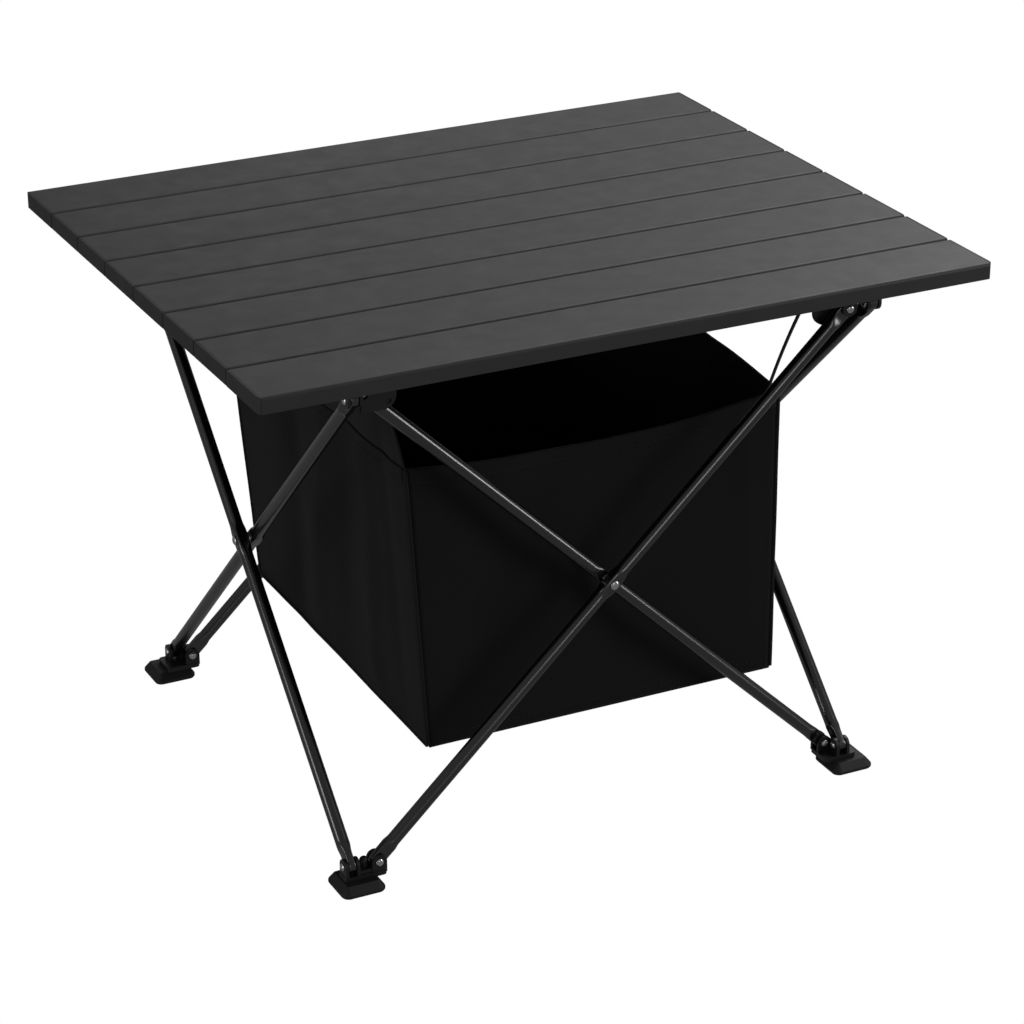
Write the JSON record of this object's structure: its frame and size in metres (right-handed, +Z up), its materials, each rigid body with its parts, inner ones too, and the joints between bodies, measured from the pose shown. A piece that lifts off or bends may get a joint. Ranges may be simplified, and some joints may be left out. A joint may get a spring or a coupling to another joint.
{
  "type": "folding camp table",
  "caption": "Roll-top folding camp table on a cross-braced folding tube frame, with an open cloth storage bag hung inside the frame.",
  "frame": {"origin": "on the floor, under the centre of the table top", "axes": "+X along the slats (the long side of the top), +Y from the front to the back, +Z up"},
  "size_m": [0.565, 0.4638, 0.408],
  "materials": {
    "slat_metal": "matte dark grey coating",
    "cap_plastic": "matte",
    "joint_plastic": "fine grained",
    "pad_rubber": "matte",
    "tube_metal": "black satin anodised",
    "rivet_metal": "bright",
    "cord_cloth": "braided",
    "bag_cloth": "plain weave"
  },
  "bodies": {
    "foot_fl": {"foot_fl": "joint_plastic", "pad_fl": "pad_rubber", "foot_pins_fl": "rivet_metal"},
    "tube_front_outer": {"tube_front_outer": "tube_metal", "rivet_front": "rivet_metal"},
    "tube_front_inner": {"tube_front_inner": "tube_metal"},
    "hub_fl": {"hub_fl": "joint_plastic", "hub_pins_fl": "rivet_metal", "bag_left": "bag_cloth", "bag_front": "bag_cloth"},
    "hub_fr": {"hub_fr": "joint_plastic", "hub_pins_fr": "rivet_metal", "strap_fr": "bag_cloth", "bag_right": "bag_cloth"},
    "foot_fr": {"foot_fr": "joint_plastic", "pad_fr": "pad_rubber", "foot_pins_fr": "rivet_metal"},
    "tube_left_outer": {"tube_left_outer": "tube_metal", "rivet_left": "rivet_metal"},
    "tube_left_inner": {"tube_left_inner": "tube_metal"},
    "hub_bl": {"hub_bl": "joint_plastic", "hub_pins_bl": "rivet_metal", "strap_bl": "bag_cloth", "bag_back": "bag_cloth"},
    "foot_bl": {"foot_bl": "joint_plastic", "pad_bl": "pad_rubber", "foot_pins_bl": "rivet_metal"},
    "tube_back_inner": {"tube_back_inner": "tube_metal", "rivet_back": "rivet_metal"},
    "tube_back_outer": {"tube_back_outer": "tube_metal"},
    "hub_br": {"hub_br": "joint_plastic", "hub_pins_br": "rivet_metal", "strap_br": "bag_cloth"},
    "foot_br": {"foot_br": "joint_plastic", "pad_br": "pad_rubber", "foot_pins_br": "rivet_metal"},
    "tube_right_outer": {"tube_right_outer": "tube_metal", "rivet_right": "rivet_metal"},
    "tube_right_inner": {"tube_right_inner": "tube_metal"},
    "slat_1": {"slat_1": "slat_metal", "caps_1": "cap_plastic", "seat_block_front": "joint_plastic", "shock_cords": "cord_cloth"},
    "bag_floor_left": {"bag_floor_left": "bag_cloth"},
    "bag_floor_right": {"bag_floor_right": "bag_cloth"},
    "slat_2": {"slat_2": "slat_metal", "caps_2": "cap_plastic"},
    "slat_3": {"slat_3": "slat_metal", "caps_3": "cap_plastic"},
    "slat_4": {"slat_4": "slat_metal", "caps_4": "cap_plastic"},
    "slat_5": {"slat_5": "slat_metal", "caps_5": "cap_plastic"},
    "slat_6": {"slat_6": "slat_metal", "caps_6": "cap_plastic"},
    "slat_7": {"slat_7": "slat_metal", "caps_7": "cap_plastic"},
    "slat_8": {"slat_8": "slat_metal", "caps_8": "cap_plastic", "seat_block_back": "joint_plastic"}
  },
  "joints": [
    {"name": "frame_fold", "type": "hinge", "parent": "foot_fl", "child": "tube_front_outer", "pos_m": [-0.1883, -0.1884, 0.019], "axis": [0, -1, 0], "range_deg": [0, 35], "deforming": ["bag_front", "bag_back", "bag_left", "bag_right", "bag_floor_left", "bag_floor_right", "strap_fr", "strap_bl", "strap_br"]},
    {"name": "hub_fr_pin", "type": "hinge", "parent": "tube_front_outer", "child": "hub_fr", "pos_m": [0.1883, -0.1884, 0.376], "axis": [0, 1, 0], "range_deg": [0, 35.5]},
    {"name": "crossing_front", "type": "hinge", "parent": "tube_front_outer", "child": "tube_front_inner", "pos_m": [0, -0.183, 0.1975], "axis": [0, 1, 0], "range_deg": [0, 71]},
    {"name": "hub_fl_pin", "type": "hinge", "parent": "tube_front_inner", "child": "hub_fl", "pos_m": [-0.1883, -0.1776, 0.376], "axis": [0, -1, 0], "range_deg": [0, 35.5]},
    {"name": "foot_fr_pin", "type": "hinge", "parent": "tube_front_inner", "child": "foot_fr", "pos_m": [0.1883, -0.1776, 0.019], "axis": [0, -1, 0], "range_deg": [0, 35.5]},
    {"name": "side_fold", "type": "hinge", "parent": "foot_fl", "child": "tube_left_outer", "pos_m": [-0.2089, -0.1883, 0.019], "axis": [1, 0, 0], "range_deg": [0, 35.5]},
    {"name": "hub_bl_pin", "type": "hinge", "parent": "tube_left_outer", "child": "hub_bl", "pos_m": [-0.2089, 0.1883, 0.376], "axis": [-1, 0, 0], "range_deg": [0, 35.5]},
    {"name": "crossing_left", "type": "hinge", "parent": "tube_left_outer", "child": "tube_left_inner", "pos_m": [-0.2035, 0, 0.1975], "axis": [-1, 0, 0], "range_deg": [0, 71]},
    {"name": "foot_bl_pin", "type": "hinge", "parent": "tube_left_inner", "child": "foot_bl", "pos_m": [-0.1981, 0.1883, 0.019], "axis": [1, 0, 0], "range_deg": [0, 35.5]},
    {"name": "back_fold", "type": "hinge", "parent": "foot_bl", "child": "tube_back_inner", "pos_m": [-0.1883, 0.1776, 0.019], "axis": [0, -1, 0], "range_deg": [0, 35.5]},
    {"name": "hub_br_pin", "type": "hinge", "parent": "tube_back_inner", "child": "hub_br", "pos_m": [0.1883, 0.1776, 0.376], "axis": [0, 1, 0], "range_deg": [0, 35.5]},
    {"name": "crossing_back", "type": "hinge", "parent": "tube_back_inner", "child": "tube_back_outer", "pos_m": [0, 0.183, 0.1975], "axis": [0, 1, 0], "range_deg": [0, 71]},
    {"name": "foot_br_pin", "type": "hinge", "parent": "tube_back_outer", "child": "foot_br", "pos_m": [0.1883, 0.1884, 0.019], "axis": [0, -1, 0], "range_deg": [0, 35.5]},
    {"name": "right_fold", "type": "hinge", "parent": "hub_fr", "child": "tube_right_outer", "pos_m": [0.2089, -0.1883, 0.376], "axis": [-1, 0, 0], "range_deg": [0, 35.5]},
    {"name": "crossing_right", "type": "hinge", "parent": "tube_right_outer", "child": "tube_right_inner", "pos_m": [0.2035, 0, 0.1975], "axis": [1, 0, 0], "range_deg": [0, 71]},
    {"name": "top_lift", "type": "slide", "parent": "hub_fl", "child": "slat_1", "axis": [0, 0, 1], "range_m": [0, 0.2]},
    {"name": "top_roll", "type": "hinge", "parent": "slat_1", "child": "slat_2", "pos_m": [0, -0.17438, 0.408], "axis": [1, 0, 0], "range_deg": [0, 43], "deforming": ["shock_cords"]},
    {"name": "top_roll_2", "type": "hinge", "parent": "slat_2", "child": "slat_3", "pos_m": [0, -0.11625, 0.408], "axis": [1, 0, 0], "range_deg": [0, 43.5]},
    {"name": "top_roll_3", "type": "hinge", "parent": "slat_3", "child": "slat_4", "pos_m": [0, -0.05813, 0.408], "axis": [1, 0, 0], "range_deg": [0, 43.5]},
    {"name": "top_roll_4", "type": "hinge", "parent": "slat_4", "child": "slat_5", "pos_m": [0, 0, 0.408], "axis": [1, 0, 0], "range_deg": [0, 43.5]},
    {"name": "top_roll_5", "type": "hinge", "parent": "slat_5", "child": "slat_6", "pos_m": [0, 0.05813, 0.408], "axis": [1, 0, 0], "range_deg": [0, 43.5]},
    {"name": "top_roll_6", "type": "hinge", "parent": "slat_6", "child": "slat_7", "pos_m": [0, 0.11625, 0.408], "axis": [1, 0, 0], "range_deg": [0, 43.5]},
    {"name": "top_roll_7", "type": "hinge", "parent": "slat_7", "child": "slat_8", "pos_m": [0, 0.17438, 0.408], "axis": [1, 0, 0], "range_deg": [0, 43.5]},
    {"name": "bag_crease_left", "type": "hinge", "parent": "hub_fl", "child": "bag_floor_left", "pos_m": [-0.1408, 0, 0.086], "axis": [0, -1, 0], "range_deg": [0, 89]},
    {"name": "bag_crease_right", "type": "hinge", "parent": "hub_fr", "child": "bag_floor_right", "pos_m": [0.1408, 0, 0.086], "axis": [0, 1, 0], "range_deg": [0, 89]}
  ],
  "couplings": [
    {"joint": "hub_fr_pin", "follows": "frame_fold", "ratio": 1},
    {"joint": "crossing_front", "follows": "frame_fold", "ratio": 2},
    {"joint": "hub_fl_pin", "follows": "frame_fold", "ratio": 1},
    {"joint": "foot_fr_pin", "follows": "frame_fold", "ratio": 1},
    {"joint": "side_fold", "follows": "frame_fold", "ratio": 1},
    {"joint": "hub_bl_pin", "follows": "frame_fold", "ratio": 1},
    {"joint": "crossing_left", "follows": "frame_fold", "ratio": 2},
    {"joint": "foot_bl_pin", "follows": "frame_fold", "ratio": 1},
    {"joint": "back_fold", "follows": "frame_fold", "ratio": 1},
    {"joint": "hub_br_pin", "follows": "frame_fold", "ratio": 1},
    {"joint": "crossing_back", "follows": "frame_fold", "ratio": 2},
    {"joint": "foot_br_pin", "follows": "frame_fold", "ratio": 1},
    {"joint": "right_fold", "follows": "frame_fold", "ratio": 1},
    {"joint": "crossing_right", "follows": "frame_fold", "ratio": 2},
    {"joint": "top_lift", "follows": "frame_fold", "m_per_rad": 0.31},
    {"joint": "top_roll_2", "follows": "top_roll", "ratio": 1},
    {"joint": "top_roll_3", "follows": "top_roll", "ratio": 1},
    {"joint": "top_roll_4", "follows": "top_roll", "ratio": 1},
    {"joint": "top_roll_5", "follows": "top_roll", "ratio": 1},
    {"joint": "top_roll_6", "follows": "top_roll", "ratio": 1},
    {"joint": "top_roll_7", "follows": "top_roll", "ratio": 1},
    {"joint": "bag_crease_left", "follows": "frame_fold", "ratio": 2.52},
    {"joint": "bag_crease_right", "follows": "frame_fold", "ratio": 2.52}
  ]
}
